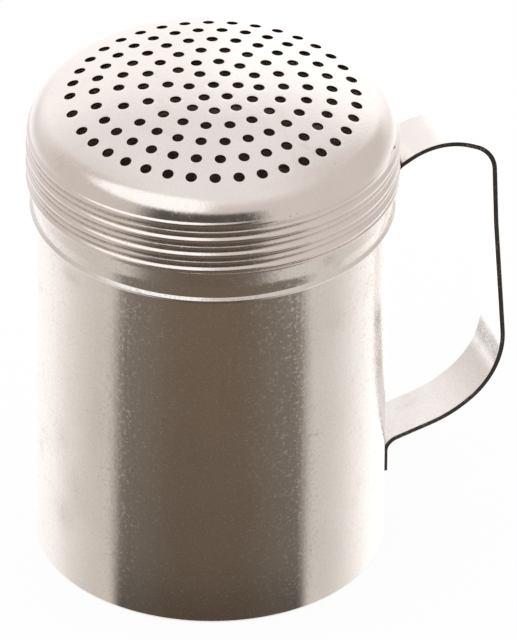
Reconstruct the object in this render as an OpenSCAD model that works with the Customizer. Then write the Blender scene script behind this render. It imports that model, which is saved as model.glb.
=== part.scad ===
// Stainless steel spice shaker: a drawn can with a strap handle and a perforated
// screw lid. The can's axis is Z, its underside is at z = 0 and the handle points
// along +X. The lid stands fully screwed down.

/* [Can] */
// Outer radius of the can wall
can_r = 35; // [30:0.5:45]
// Thickness of the drawn wall
can_wall = 0.5; // [0.4:0.05:0.6]
// Thickness of the base
base_t = 0.6; // [0.5:0.05:1]
// Outer radius of the rounded corner round the base
base_corner_r = 1; // [0.8:0.1:2]
// Height of the bead below the lid
bead_z = 78.55; // [78.3:0.05:78.7]
// How far the bead stands outside the collar above it
bead_out = 0.4; // [0.3:0.05:0.5]
// How far the plain collar above the bead stands outside the wall
collar_step = 1.05; // [0.9:0.05:1.1]

/* [Screw thread] */
// Height of the thread per turn
pitch = 3.5; // [3.2:0.1:3.8]
// How far the thread stands out of the lid's skirt
lid_ridge = 0.6; // [0.5:0.05:0.7]
// How far the thread stands out of the can's neck
neck_ridge = 0.7; // [0.6:0.05:0.8]
// Radial play between the two threads at their crests
thread_play = 0.3; // [0.25:0.05:0.35]
// How far the low rib between the lid's turns stands out
lid_rib = 0.24; // [0.15:0.01:0.25]
// Sides round each threaded sleeve
thread_sides = 60; // [48:6:60]

/* [Lid] */
// Radius of the lid's skirt between the ridges
skirt_r = 36.8; // [36.8:0.1:36.9]
// Thickness of the lid's sheet
lid_sheet = 0.45; // [0.4:0.05:0.5]
// Height of the lid's crown above the underside of the can
lid_top_z = 106; // [105.5:0.1:106.5]
// Radius where the crown turns into the shoulder
crown_r = 32.8; // [32:0.1:33]
// Radius of curvature at the middle of the crown
crown_curve_r = 167; // [150:1:200]
// Further drop of the crown at the outer ring of holes
crown_droop = 1.1; // [0.8:0.1:1.3]
// Radius of the rolled bead's wire round the lid's lower edge
hem_tube_r = 0.2; // [0.15:0.05:0.2]

/* [Sprinkle holes] */
// Diameter of each hole
hole_d = 2.2; // [1.5:0.1:3]
// Distance from one ring of holes to the next
ring_pitch = 4.88; // [4.6:0.02:4.9]
// How much closer in the rings beyond the first one sit
ring_inset = 0.69; // [0.5:0.01:0.9]

/* [Handle] */
// Width of the strap
strap_w = 11.5; // [9:0.5:12]
// Thickness of the strap
strap_t = 1; // [0.8:0.1:1.2]
// Height of the strap's lower end
tab_low_z = 9.5; // [7:0.5:10]
// Height of the upper tab's lower end
tab_high_z = 69; // [66:0.5:69.5]
// Diameter of each spot weld
weld_d = 3.2; // [2.5:0.1:3.6]
// Distance between the two welds of a tab
weld_gap = 5.6; // [5:0.1:6]

/* [Hidden] */
$fn = 96;

// Heights of the neck's zones, from the plain collar up to the rolled mouth.
neck_z = 85.4;
neck_ramp_h = 1;
neck_top_z = 95.7;
neck_taper_h = 0.4;
curl_tube_r = 0.6;
curl_rise = 1.1;
base_inner_r = base_corner_r - can_wall;
collar_r = can_r + collar_step;
bead_r = collar_r + bead_out;
mouth_r = collar_r - 0.55;

// Middle line of the can's wall: distance from the axis, height, bend radius.
wall_mid_r = can_r - can_wall / 2;
collar_mid_r = collar_r - can_wall / 2;
wall_path = [
    [wall_mid_r, base_corner_r + base_t, 0],
    [wall_mid_r, bead_z - 1.25, 0.8],
    [bead_r + 0.05, bead_z, 0.45],
    [collar_mid_r, bead_z + 1, 1],
    [collar_mid_r, neck_z, 0]];

// The lid's zones.
hem_z = 85.15;
hem_gap = 0.1;
skirt_z = hem_z + hem_tube_r + hem_gap;
crown_joint_z = 97.6;
skirt_in_r = skirt_r - lid_sheet;
lid_crest_r = skirt_r + lid_ridge;
hem_r = lid_crest_r - 0.3;
neck_crest_r = lid_crest_r - lid_sheet - thread_play;
neck_root_r = neck_crest_r - neck_ridge;

// The thread is right-handed. Its crest passes this height at the handle's side and
// rises by one pitch per turn. Angles count on from turn to turn along the thread.
crest_z = 93.99;
lid_thread = [-1440, 280];
neck_thread = [-660, 40];
run_out = 20;

// Half width of the thread's crest, width of its flank, place of the low rib below the
// crest and width of the rib's flank, as shares of the pitch.
crest_flat = 0.03;
flank = 0.27;
rib_place = -0.431;
rib_flank = 0.143;

// The lid's thread loses this share of its height over this stretch at its upper end.
sink_share = 0.5;
sink_z = 94.4;
sink_h = 2;
skirt_row_h = 0.25;
neck_row_h = 0.45;

// The crown is an arc with a drop that grows with the fourth power of the radius.
ring_holes = [6, 12, 18, 24, 31, 37];
ring_seam = [284.3, 157.7, 182.1, 178.8, 171.5, 171.3];
ring_arc = [5.27, 4.54, 4.78, 4.76, 4.76, 4.76];
outer_ring_r = ring_r(6);
crown_steps = 12;
shoulder_steps = 10;
shoulder_r = (skirt_r - crown_r) / (1 - sin(crown_slope(crown_r)));
shoulder_mid_r = skirt_r - shoulder_r;
shoulder_z = crown_z(crown_r) - shoulder_r * cos(crown_slope(crown_r));
shoulder_in_r = shoulder_r - lid_sheet;

// Middle line of the strap: distance from the can's axis, height, bend radius.
tab_mid_r = can_r + strap_t / 2;
joggle_r = bead_r + 0.1 + strap_t / 2;
strap_path = [
    [tab_mid_r, tab_high_z + 4, 0],
    [tab_mid_r, bead_z - 2.9, 1.2],
    [joggle_r, bead_z - 1.15, 1.5],
    [joggle_r, 81.7, 2.5],
    [46.3, 86.9, 14],
    [57.8, 81.56, 7],
    [58.45, 64.4, 60],
    [60.85, 28.35, 17],
    [49.15, 20.14, 24],
    [tab_mid_r, 16.4, 3],
    [tab_mid_r, tab_low_z + 4, 0]];
bend_steps = 16;
tab_high_h = 6;
tab_low_h = 5;
weld_sink = 0.1;
weld_play = 0.02;
cut = 1;

steel = [0.76, 0.74, 0.71];
lid_steel = [0.82, 0.79, 0.77];
strap_steel = [0.68, 0.67, 0.65];
weld_steel = [0.45, 0.43, 0.41];

function clamp01(x) = min(1, max(0, x));
function ease(x) = (1 - cos(180 * clamp01(x))) / 2;
function mix(a, b, x) = a + (b - a) * clamp01(x);
function reversed(list) = [for (i = [len(list) - 1:-1:0]) list[i]];

// Height and slope angle of the crown at radius r.
function crown_z(r) = lid_top_z - r * r / (2 * crown_curve_r)
    - crown_droop * pow(r / outer_ring_r, 4);
function crown_slope(r) = atan(r / crown_curve_r
    + 4 * crown_droop * pow(r, 3) / pow(outer_ring_r, 4));

// Radius of ring k of holes: the first ring is one pitch out.
function ring_r(k) = k * ring_pitch - (k > 1 ? ring_inset : 0);

// Height of a ridge over its root, from 0 to 1, where its crest lies at each whole number
// of turns u at angle a. The ridge is flat on top and fades out at both ends.
function fade(t, ends) = clamp01((t - ends[0]) / run_out) * clamp01((ends[1] - t) / run_out);
function ridge(u, a, ends, top, side) =
    let (k = round(u))
    (1 - ease((abs(u - k) - top) / side)) * fade(a + 360 * k, ends);

// Turns of the thread's crest line at height z and angle a.
function turns(z, a) = (z - crest_z) / pitch - a / 360;

// Radius of the lid below its ridges: plain skirt, then the arc of the shoulder.
function skirt_base(z, arc_r, plain_r) = z < shoulder_z ? plain_r
    : shoulder_mid_r + sqrt(arc_r * arc_r - pow(z - shoulder_z, 2));
function sunk(z) = 1 - sink_share * ease((z - sink_z) / sink_h);
function lid_swell(z, a) =
    lid_ridge * sunk(z) * ridge(turns(z, a), a, lid_thread, crest_flat, flank)
    + lid_rib * ridge(turns(z, a) - rib_place, a, lid_thread, 0, rib_flank);
function lid_outer(z, a) = skirt_base(z, shoulder_r, skirt_r) + lid_swell(z, a);
function lid_inner(z, a) = skirt_base(z, shoulder_in_r, skirt_in_r) + lid_swell(z, a);

// Radius of the neck below its ridges: it starts at the collar and tapers to the mouth.
function neck_base(z) = z < neck_top_z - neck_taper_h
    ? mix(collar_r, neck_root_r, (z - neck_z) / neck_ramp_h)
    : mix(neck_root_r, mouth_r, (z - neck_top_z + neck_taper_h) / neck_taper_h);
function neck_outer(z, a) = neck_base(z)
    + neck_ridge * ridge(turns(z, a), a, neck_thread, crest_flat, flank);
function neck_inner(z, a) = neck_outer(z, a) - can_wall;

// Closed sleeve between two heights, between the radii outer(z, a) and inner(z, a), in
// rows of a given height.
module sleeve(z_low, z_high, row_h, outer, inner) {
    n = thread_sides;
    rows = ceil((z_high - z_low) / row_h);
    function height(i) = z_low + (z_high - z_low) * i / rows;
    function ring(i, radius) = [for (j = [0:n - 1])
        let (a = 360 * j / n, r = radius(height(i), a)) [r * cos(a), r * sin(a), height(i)]];
    function at(side, i, j) = (side * (rows + 1) + i) * n + j % n;
    points = [for (side = [outer, inner]) for (i = [0:rows]) each ring(i, side)];
    walls = [for (i = [0:rows - 1]) for (j = [0:n - 1]) each [
        [at(0, i, j), at(0, i + 1, j), at(0, i + 1, j + 1)],
        [at(0, i, j), at(0, i + 1, j + 1), at(0, i, j + 1)],
        [at(1, i, j), at(1, i + 1, j + 1), at(1, i + 1, j)],
        [at(1, i, j), at(1, i, j + 1), at(1, i + 1, j + 1)]]];
    rims = [for (j = [0:n - 1]) each [
        [at(0, 0, j), at(0, 0, j + 1), at(1, 0, j + 1)],
        [at(0, 0, j), at(1, 0, j + 1), at(1, 0, j)],
        [at(0, rows, j), at(1, rows, j + 1), at(0, rows, j + 1)],
        [at(0, rows, j), at(1, rows, j), at(1, rows, j + 1)]]];
    polyhedron(points = points, faces = concat(walls, rims), convexity = 8);
}

// Line through corners [x, y, bend radius], shifted sideways by a distance, with each
// corner rounded by an arc of points.
function unit(v) = v / norm(v);
function turned(v) = [-v[1], v[0]];
function bend(path, i, shift) =
    let (a = [path[i - 1][0], path[i - 1][1]],
         b = [path[i][0], path[i][1]],
         c = [path[i + 1][0], path[i + 1][1]],
         u = unit(b - a),
         v = unit(c - b),
         side = sign(u[0] * v[1] - u[1] * v[0]),
         half = acos(u * v) / 2,
         r = path[i][2],
         mid = b + unit(v - u) * r / cos(half),
         from = atan2(-side * turned(u)[1], -side * turned(u)[0]))
    [for (s = [0:bend_steps])
        let (angle = from + side * 2 * half * s / bend_steps)
        mid + (r - side * shift) * [cos(angle), sin(angle)]];
function line_end(path, i, j, shift) =
    let (a = [path[i][0], path[i][1]], b = [path[j][0], path[j][1]])
    a + turned(unit(b - a)) * shift * sign(j - i);
function rounded_line(path, shift) = concat(
    [line_end(path, 0, 1, shift)],
    [for (i = [1:len(path) - 2]) each bend(path, i, shift)],
    [line_end(path, len(path) - 1, len(path) - 2, shift)]);

// Half outline of the can: base corner, wall, bead and collar, carried up the outside
// and back down the inside.
module can_outline() {
    outer_corner = [for (i = [0:6]) let (a = 15 * i)
        [can_r - base_corner_r + base_corner_r * sin(a), base_corner_r * (1 - cos(a))]];
    inner_corner = [for (i = [6:-1:0]) let (a = 15 * i)
        [can_r - base_corner_r + base_inner_r * sin(a), base_t + base_inner_r * (1 - cos(a))]];
    polygon(concat(
        [[0, 0]],
        outer_corner,
        rounded_line(wall_path, -can_wall / 2),
        reversed(rounded_line(wall_path, can_wall / 2)),
        inner_corner,
        [[0, base_t]]));
}

module can_body() {
    color(steel)
    rotate_extrude()
    can_outline();
}

module can_neck() {
    color(steel)
    sleeve(neck_z, neck_top_z, neck_row_h,
        function(z, a) neck_outer(z, a),
        function(z, a) neck_inner(z, a));
}

// The wall's last stretch and the bead that it is rolled into, towards the inside.
module mouth_curl() {
    color(steel)
    rotate_extrude() {
        translate([mouth_r - can_wall, neck_top_z])
        square([can_wall, curl_rise]);
        translate([mouth_r - curl_tube_r, neck_top_z + curl_rise])
        circle(r = curl_tube_r);
    }
}

// Slab as wide as the strap between two heights.
module strap_slab(z_low, height) {
    translate([0, -strap_w / 2, z_low])
    cube([2 * can_r, strap_w, height]);
}

// End of the strap, curved to lie on the can's wall.
module tab(z_low, height) {
    intersection() {
        difference() {
            translate([0, 0, z_low])
            cylinder(r = can_r + strap_t, h = height);
            translate([0, 0, z_low - cut])
            cylinder(r = can_r, h = height + 2 * cut);
        }
        strap_slab(z_low, height);
    }
}

module weld_pair(z, d) {
    for (side = [-1, 1])
        translate([can_r - 2 * cut, side * weld_gap / 2, z])
        rotate([0, 90, 0])
        cylinder(d = d, h = strap_t + 4 * cut);
}

function tab_low_weld_z() = tab_low_z + tab_low_h / 2;
function tab_high_weld_z() = tab_high_z + tab_high_h / 2;

module handle_strap() {
    color(strap_steel)
    difference() {
        union() {
            translate([0, strap_w / 2, 0])
            rotate([90, 0, 0])
            linear_extrude(strap_w)
            polygon(concat(
                rounded_line(strap_path, strap_t / 2),
                reversed(rounded_line(strap_path, -strap_t / 2))));
            tab(tab_high_z, tab_high_h);
            tab(tab_low_z, tab_low_h);
        }
        weld_pair(tab_low_weld_z(), weld_d + 2 * weld_play);
        weld_pair(tab_high_weld_z(), weld_d + 2 * weld_play);
    }
}

// Weld metal that fills the two holes of a tab, a little below its surface.
module weld_nuggets(z) {
    intersection() {
        weld_pair(z, weld_d);
        difference() {
            translate([0, 0, z - weld_d])
            cylinder(r = can_r + strap_t - weld_sink, h = 2 * weld_d);
            translate([0, 0, z - weld_d - cut])
            cylinder(r = can_r, h = 2 * (weld_d + cut));
        }
    }
}

module upper_weld_nuggets() {
    color(weld_steel)
    weld_nuggets(tab_high_weld_z());
}

module lower_weld_nuggets() {
    color(weld_steel)
    weld_nuggets(tab_low_weld_z());
}

// Point of the crown's or the shoulder's outline, moved inwards by a depth.
function crown_point(r, depth) =
    [r - depth * sin(crown_slope(r)), crown_z(r) - depth * cos(crown_slope(r))];
function shoulder_point(angle, depth) =
    [shoulder_mid_r, shoulder_z] + (shoulder_r - depth) * [cos(angle), sin(angle)];
function shoulder_low(depth) = asin((crown_joint_z - shoulder_z) / (shoulder_r - depth));
function crown_line(depth) = concat(
    [for (i = [0:crown_steps]) crown_point(crown_r * i / crown_steps, depth)],
    [for (i = [1:shoulder_steps])
        shoulder_point(mix(90 - crown_slope(crown_r), shoulder_low(depth), i / shoulder_steps),
            depth)]);

// Holes of a ring are stepped along it at a fixed spacing, and one more hole stands in
// the middle of the gap that is left at the seam.
module hole_ring(r, count, seam, arc) {
    step = 360 * arc / (2 * PI * r);
    gap = (360 - (count - 2) * step) / 2;
    for (i = [0:count - 2])
        rotate(seam + gap + i * step)
        translate([r, 0, 0])
        children();
    rotate(seam)
    translate([r, 0, 0])
    children();
}

module sprinkle_hole() {
    translate([0, 0, crown_joint_z])
    cylinder(d = hole_d, h = lid_top_z - crown_joint_z + cut, $fn = 24);
}

module lid_crown() {
    color(lid_steel)
    difference() {
        rotate_extrude()
        polygon(concat(crown_line(0), reversed(crown_line(lid_sheet))));
        sprinkle_hole();
        for (k = [1:len(ring_holes)])
            hole_ring(ring_r(k), ring_holes[k - 1], ring_seam[k - 1], ring_arc[k - 1])
            sprinkle_hole();
    }
}

module lid_skirt() {
    color(lid_steel)
    sleeve(skirt_z, crown_joint_z, skirt_row_h,
        function(z, a) lid_outer(z, a),
        function(z, a) lid_inner(z, a));
}

module lid_hem() {
    color(lid_steel)
    translate([0, 0, hem_z])
    rotate_extrude()
    translate([hem_r, 0])
    circle(r = hem_tube_r);
}

can_body();
can_neck();
mouth_curl();
handle_strap();
upper_weld_nuggets();
lower_weld_nuggets();
lid_crown();
lid_skirt();
lid_hem();
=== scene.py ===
"""Looks of a stainless steel spice shaker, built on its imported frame.

Sizes in the classes are millimetres and angles are degrees. They become metres when a mesh
is made. The can's axis is Z, its foot is at z = 0 and the handle points along +X. A pair
called a step says where a cosine step starts and how wide it is.
"""

import logging
from dataclasses import dataclass, field, replace
from enum import Enum
from functools import reduce

import bmesh
import bpy
import numpy as np
from mathutils import Matrix, Vector
from mathutils.geometry import delaunay_2d_cdt


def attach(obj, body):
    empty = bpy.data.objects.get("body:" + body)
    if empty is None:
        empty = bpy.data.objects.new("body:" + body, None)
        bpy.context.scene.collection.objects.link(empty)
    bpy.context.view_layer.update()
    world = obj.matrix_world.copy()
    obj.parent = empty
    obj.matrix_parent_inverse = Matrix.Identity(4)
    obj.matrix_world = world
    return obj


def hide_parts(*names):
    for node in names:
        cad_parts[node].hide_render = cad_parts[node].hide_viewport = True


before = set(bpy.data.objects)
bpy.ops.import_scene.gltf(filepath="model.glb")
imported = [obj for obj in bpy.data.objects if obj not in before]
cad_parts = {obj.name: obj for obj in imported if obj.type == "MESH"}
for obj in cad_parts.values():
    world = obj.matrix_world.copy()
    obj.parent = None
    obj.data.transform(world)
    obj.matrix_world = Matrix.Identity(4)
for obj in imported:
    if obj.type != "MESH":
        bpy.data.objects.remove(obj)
log = logging.getLogger("shaker")

MM = 0.001
WELD_GAP = 1e-7
SAME_PLACE = 1e-6
SEEN_BY = ("Camera", "Glossy", "Transmission")

Array = np.ndarray
Material = bpy.types.Material
Piece = bpy.types.Object
Socket = bpy.types.NodeSocket
Colour = tuple[float, float, float]
Corner = tuple[float, float, float]
Pair = tuple[float, float]
Span = tuple[float, float, float, float]


class Slot(Enum):
    """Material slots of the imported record."""

    CAN = "can_steel"
    STRAP = "strap_steel"
    WELD = "weld_steel"
    LID = "lid_steel"


class Body(Enum):
    """Bodies that the pieces ride on."""

    CAN = "can"
    LID_EDGE = "lid_edge"
    LID = "lid"


# Lines and surfaces


def smooth(x: Array, start: float = 0, width: float = 1) -> Array:
    """Cosine step: 0 up to start, 1 from start + width on."""
    return (1 - np.cos(np.pi * np.clip((x - start) / width, 0, 1))) / 2


def mixed(share: Array, a: object, b: object) -> Array:
    """Values a where share is 0, values b where it is 1."""
    return np.asarray(a) * (1 - share) + np.asarray(b) * share


def unit(v: Array) -> Array:
    """Vectors along the last axis, brought to length 1."""
    return v / np.linalg.norm(v, axis=-1, keepdims=True)


def left_of(v: Array) -> Array:
    """Plane vectors turned a quarter turn anticlockwise."""
    return np.stack([-v[..., 1], v[..., 0]], axis=-1)


def polar(angle: Array) -> Array:
    """Unit vectors (cos a, sin a) at angles a in radians."""
    return np.stack([np.cos(angle), np.sin(angle)], axis=-1)


def around(count: int) -> Array:
    """Angles in degrees, evenly spaced once round."""
    return np.arange(count) * 360 / count


def rounded_line(corners: list[Corner], steps: int = 12) -> Array:
    """Line through corners with each inner corner replaced by an arc.

    The arc of bend radius r has its centre on the corner's bisector, at r over the cosine
    of half the turn, and runs from one tangent point to the other.

    Args:
        corners: x, y and bend radius of each corner; the ends' radii are not used.
        steps: number of pieces that each arc is cut into.

    Returns:
        Points of the line, one row each.
    """
    data = np.array(corners, float)
    p, r = data[:, :2], data[1:-1, 2:]
    into, out = unit(p[1:-1] - p[:-2]), unit(p[2:] - p[1:-1])
    side = np.sign(into[:, :1] * out[:, 1:] - into[:, 1:] * out[:, :1])
    half = np.arccos(np.clip((into * out).sum(1, keepdims=True), -1, 1)) / 2
    centre = p[1:-1] + unit(out - into) * r / np.cos(half)
    first = -side * left_of(into)
    start = np.arctan2(first[:, 1:], first[:, :1])
    angle = start + side * 2 * half * np.linspace(0, 1, steps + 1)
    arcs = centre[:, None] + r[:, None] * polar(angle)
    return np.concatenate([p[:1], arcs.reshape(-1, 2), p[-1:]])


def filled_in(line: Array, step: float) -> Array:
    """Line with points added evenly on each stretch that is longer than step.

    Args:
        line: points of the line.
        step: longest distance that is left between two points.

    Returns:
        Points of the finer line, with repeated points left out.
    """
    gaps = np.linalg.norm(np.diff(line, axis=0), axis=1)
    line = line[np.concatenate([[True], gaps > SAME_PLACE])]
    gaps = np.linalg.norm(np.diff(line, axis=0), axis=1)
    parts = np.maximum(1, np.ceil(gaps / step)).astype(int)
    stretch = np.repeat(np.arange(len(parts)), parts)
    share = (np.arange(parts.sum()) - np.repeat(np.cumsum(parts) - parts, parts)) / parts[stretch]
    made = line[stretch] + (line[stretch + 1] - line[stretch]) * share[:, None]
    return np.concatenate([made, line[-1:]])


def line_normals(line: Array) -> Array:
    """Unit vectors to the right of a line, from central differences of its points."""
    return -left_of(unit(np.gradient(line, axis=0)))


def ring_grid(radius: Array, z: Array, angle: Array) -> Array:
    """Points at (radius cos angle, radius sin angle, z), with angles in degrees."""
    a = np.radians(angle)
    return np.stack(np.broadcast_arrays(radius * np.cos(a), radius * np.sin(a), z), axis=-1)


def lathe(line: Array, turns: int) -> Array:
    """Surface of revolution: each point (r, z) of a line goes once round the axis."""
    return ring_grid(line[:, :1], line[:, 1:], around(turns))


def grid_faces(rows: int, cols: int, close_rows: bool, close_cols: bool) -> Array:
    """Four-cornered faces of a grid of points.

    Args:
        rows: number of rows of points.
        cols: number of points in a row.
        close_rows: join the last row to the first.
        close_cols: join the last column to the first.

    Returns:
        Four point numbers for each face.
    """
    i = np.arange(rows if close_rows else rows - 1)[:, None]
    j = np.arange(cols if close_cols else cols - 1)[None]
    i2, j2 = (i + 1) % rows, (j + 1) % cols
    corners = [i * cols + j, i * cols + j2, i2 * cols + j2, i2 * cols + j]
    return np.stack(np.broadcast_arrays(*corners), axis=-1).reshape(-1, 4)


def placed(name: str, data: bpy.types.ID) -> Piece:
    """New object of the scene.

    Args:
        name: its name.
        data: the mesh, lamp or camera that it holds.

    Returns:
        The object.
    """
    piece = bpy.data.objects.new(name, data)
    bpy.context.scene.collection.objects.link(piece)
    return piece


@dataclass
class Blank:
    """Points and faces of a piece while it is being shaped, in millimetres."""

    points: list[Array] = field(default_factory=list)
    faces: list[list[int]] = field(default_factory=list)
    finish: list[Array] = field(default_factory=list)
    # Darkening of each point: real stains and scuffs, and painted shade in the lid's thread roots
    # and on the strap's lower arm.
    soil_and_shade: list[Array] = field(default_factory=list)

    def add(self, points: Array, faces: Array, finish: int = 0, soil_and_shade: Array | None = None) -> None:
        """Adds faces over new points.

        Args:
            points: three coordinates for each point.
            faces: point numbers of each face, counted from these points.
            finish: number of the finish that the faces take.
            soil_and_shade: how much stain or painted shade darkens each point, from 0 to 1, or
                None for none.
        """
        start = sum(len(p) for p in self.points)
        self.points.append(points.reshape(-1, 3))
        self.faces += (faces + start).tolist()
        self.finish.append(np.full(len(faces), finish))
        self.soil_and_shade.append(np.zeros(len(self.points[-1])) if soil_and_shade is None else soil_and_shade.reshape(-1))

    def add_grid(self, grid: Array, finish: int = 0, soil_and_shade: Array | None = None,
                 close_rows: bool = False, close_cols: bool = True) -> None:
        """Adds a surface given as rows of points, closed along its rows or not."""
        self.add(grid, grid_faces(*grid.shape[:2], close_rows, close_cols), finish, soil_and_shade)

    def add_sleeve(self, outer: Array, inner: Array, soil_and_shade: Array | None = None) -> None:
        """Adds a sleeve: two closed surfaces and the rims between their first and last rows.

        Args:
            outer: rows of points of the outer surface.
            inner: rows of points of the inner surface.
            soil_and_shade: how much stain or painted shade darkens the outer points.
        """
        self.add_grid(outer, soil_and_shade=soil_and_shade)
        self.add_grid(inner, finish=1)
        self.add_grid(np.stack([outer[0], inner[0]]))
        self.add_grid(np.stack([outer[-1], inner[-1]]))

    def mesh(self, name: str) -> bpy.types.Mesh:
        """Mesh of the points and faces in metres.

        Args:
            name: name of the mesh.

        Returns:
            The mesh, without finishes.
        """
        mesh = bpy.data.meshes.new(name)
        mesh.from_pydata((np.concatenate(self.points) * MM).tolist(), [], self.faces)
        return mesh

    def make(self, name: str, body: Body, slot: Slot, nodes: list[str], finishes: list[Material],
             crease: float = 50) -> None:
        """Makes the object: joins seams and poles, turns faces outwards, sets it on its body.

        Args:
            name: name of the piece.
            body: the body that the piece rides on.
            slot: the record's material slot; not used.
            nodes: the frame's nodes that the piece stands for.
            finishes: materials, in the order of the finish numbers.
            crease: edges that turn by more than this angle are shaded as sharp.
        """
        mesh = self.mesh(name)
        mesh.polygons.foreach_set("material_index", np.concatenate(self.finish).astype(np.int32))
        mesh.attributes.new("soil_and_shade", "FLOAT", "POINT")
        mesh.attributes["soil_and_shade"].data.foreach_set("value", np.concatenate(self.soil_and_shade).astype("f4"))
        shell = bmesh.new()
        shell.from_mesh(mesh)
        bmesh.ops.remove_doubles(shell, verts=shell.verts, dist=WELD_GAP)
        bmesh.ops.recalc_face_normals(shell, faces=shell.faces)
        if shell.calc_volume(signed=True) < 0:
            bmesh.ops.reverse_faces(shell, faces=shell.faces)
        open_edges = sum(not e.is_manifold for e in shell.edges)
        shell.to_mesh(mesh)
        shell.free()
        mesh.polygons.foreach_set("use_smooth", np.ones(len(mesh.polygons), bool))
        mesh.set_sharp_from_angle(angle=np.radians(crease))
        for finish in finishes:
            mesh.materials.append(finish)
        piece = placed(name, mesh)
        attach(piece, body.value)
        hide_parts(*nodes)
        log.info("%s: %d faces, %d open edges, on %s", name, len(mesh.polygons), open_edges,
                 body.value)


# Finishes


def rgba(colour: Colour) -> tuple[float, float, float, float]:
    """Colour with full cover."""
    return (*colour, 1.0)


class Nodes:
    """Short calls for laying out the nodes of a material or of the world."""

    def __init__(self, owner: Material | bpy.types.World) -> None:
        """Turns on the owner's nodes."""
        owner.use_nodes = True
        self.tree = owner.node_tree

    def join(self, source: object, socket: Socket) -> None:
        """Links an output to a socket, or sets the socket to a plain value.

        Args:
            source: an output or a value.
            socket: the socket that takes it.
        """
        if isinstance(source, Socket):
            self.tree.links.new(source, socket)
        else:
            socket.default_value = source

    def node(self, kind: str, values: dict[str | int, object], **settings: str) -> bpy.types.Node:
        """New node.

        Args:
            kind: its type, without the word that all types start with.
            values: outputs and plain values for its sockets, by name or number.
            settings: its other properties.

        Returns:
            The node.
        """
        node = self.tree.nodes.new("ShaderNode" + kind)
        for key, value in settings.items():
            setattr(node, key, value)
        for key, value in values.items():
            self.join(value, node.inputs[key])
        return node

    def maths(self, what: str, *sources: object) -> Socket:
        """Sum, product or greatest of the values, by nodes that take two at a time."""
        return reduce(lambda a, b: self.node("Math", {0: a, 1: b}, operation=what).outputs[0],
                      sources)

    def seen(self) -> Socket:
        """1 for rays from the camera, off gloss or through glass, else 0."""
        path = self.node("LightPath", {}).outputs
        return self.maths("MAXIMUM", *(path[f"Is {kind} Ray"] for kind in SEEN_BY))

    def show(self, end: str, share: Socket, base: Socket, shown: Socket) -> None:
        """Sends one shader to the end node, mixed with another by a share."""
        mix = self.node("MixShader", {0: share, 1: base, 2: shown}).outputs[0]
        self.join(mix, self.tree.nodes[end].inputs["Surface"])


class Weave(Nodes):
    """Nodes of a finish, which is a pattern on object coordinates."""

    def __init__(self, name: str) -> None:
        """Starts a material with its shader and its object coordinates.

        Args:
            name: name of the material.
        """
        self.material = bpy.data.materials.new(name)
        super().__init__(self.material)
        self.shader = self.tree.nodes["Principled BSDF"].inputs
        self.place = self.node("TexCoord", {}).outputs["Object"]

    def stretched(self, scale: Colour) -> Socket:
        """Object coordinates multiplied by a scale along each axis."""
        return self.node("Mapping", {"Vector": self.place, "Scale": scale}).outputs[0]

    def noise(self, size: float, detail: float = 2, rough: float = 0.5,
              place: Socket | None = None, warp: float = 0) -> Socket:
        """Smooth noise.

        Args:
            size: size of its grains in millimetres.
            detail: number of finer layers.
            rough: weight of the finer layers.
            place: coordinates, or None for the object's own.
            warp: how much the noise is bent by itself.

        Returns:
            The noise, around one half.
        """
        values = {"Vector": place or self.place, "Scale": 1 / (size * MM), "Detail": detail,
                  "Roughness": rough, "Distortion": warp}
        return self.node("TexNoise", values).outputs["Fac"]

    def attribute(self, name: str) -> Socket:
        """Value that the mesh holds for each point."""
        return self.node("Attribute", {}, attribute_name=name).outputs["Fac"]

    def cells(self, size: float) -> Socket:
        """Distance to the nearest of many scattered points, which lie about size apart."""
        values = {"Vector": self.place, "Scale": 1 / (size * MM)}
        return self.node("TexVoronoi", values).outputs["Distance"]

    def span(self, source: Socket, low: float, high: float, to_low: float = 0,
             to_high: float = 1) -> Socket:
        """Stretches the values from low to high over to_low to to_high, held at the ends."""
        return self.node("MapRange", {"Value": source, "From Min": low, "From Max": high,
                                      "To Min": to_low, "To Max": to_high}).outputs[0]

    def blend(self, share: object, a: object, b: object) -> Socket:
        """Colour a where share is 0, colour b where it is 1."""
        return self.node("Mix", {0: share, 6: a, 7: b}, data_type="RGBA").outputs[2]

    def relief(self, height: Socket, depth: float, below: Socket | None = None) -> Socket:
        """Bumps of a depth in millimetres, on top of the bumps below."""
        values = {"Strength": 1, "Distance": depth * MM, "Height": height}
        return self.node("Bump", values | ({"Normal": below} if below else {})).outputs[0]

    def dress(self, tone: Socket, rough: Socket, bumps: Socket, metal: float) -> Material:
        """Joins everything to the shader.

        Args:
            tone: colour.
            rough: roughness, from 0 to 1.
            bumps: normals, bent by the bumps.
            metal: how metallic the surface is, from 0 to 1.

        Returns:
            The material.
        """
        parts = {"Base Color": tone, "Roughness": rough, "Normal": bumps, "Metallic": metal}
        for key, source in parts.items():
            self.join(source, self.shader[key])
        return self.material


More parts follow.
